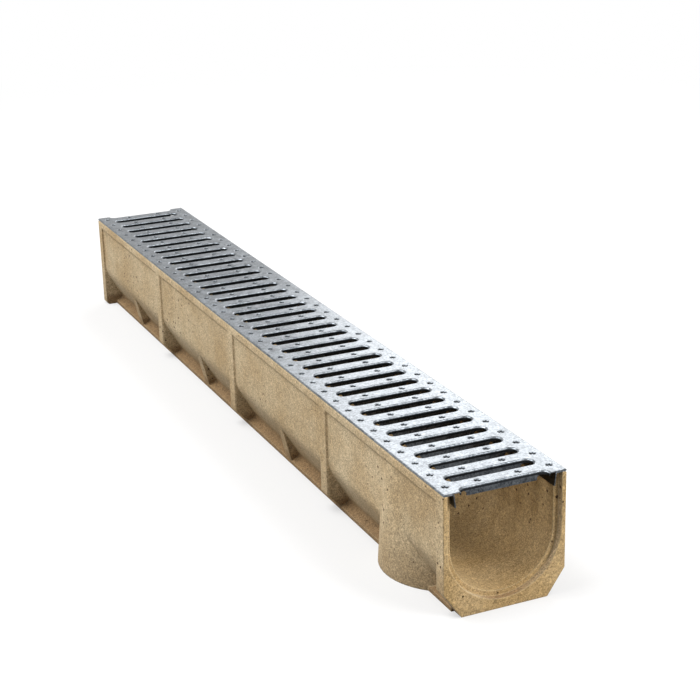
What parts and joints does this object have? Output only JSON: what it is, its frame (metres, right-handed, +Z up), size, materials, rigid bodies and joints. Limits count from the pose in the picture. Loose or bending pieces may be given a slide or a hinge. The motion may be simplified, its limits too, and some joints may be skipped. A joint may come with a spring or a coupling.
{
  "type": "channel drain",
  "caption": "Cast polymer-concrete drainage channel with a round invert, outside ribs and an outlet boss, under a folded galvanised slot grating that lies loose on its wall tops.",
  "frame": {"origin": "middle of the box round the object, at its underside", "axes": "+Z up, +Y along the channel from the outlet end to the tongue end, +X across"},
  "size_m": [0.1298, 1.005, 0.1172],
  "materials": {
    "polymer_concrete": "cast, sandy and slightly pitted",
    "galvanised_steel": "hot-dip galvanised"
  },
  "bodies": {
    "root": {"channel_body": "polymer_concrete", "slotted_grating": "galvanised_steel"}
  },
  "joints": []
}
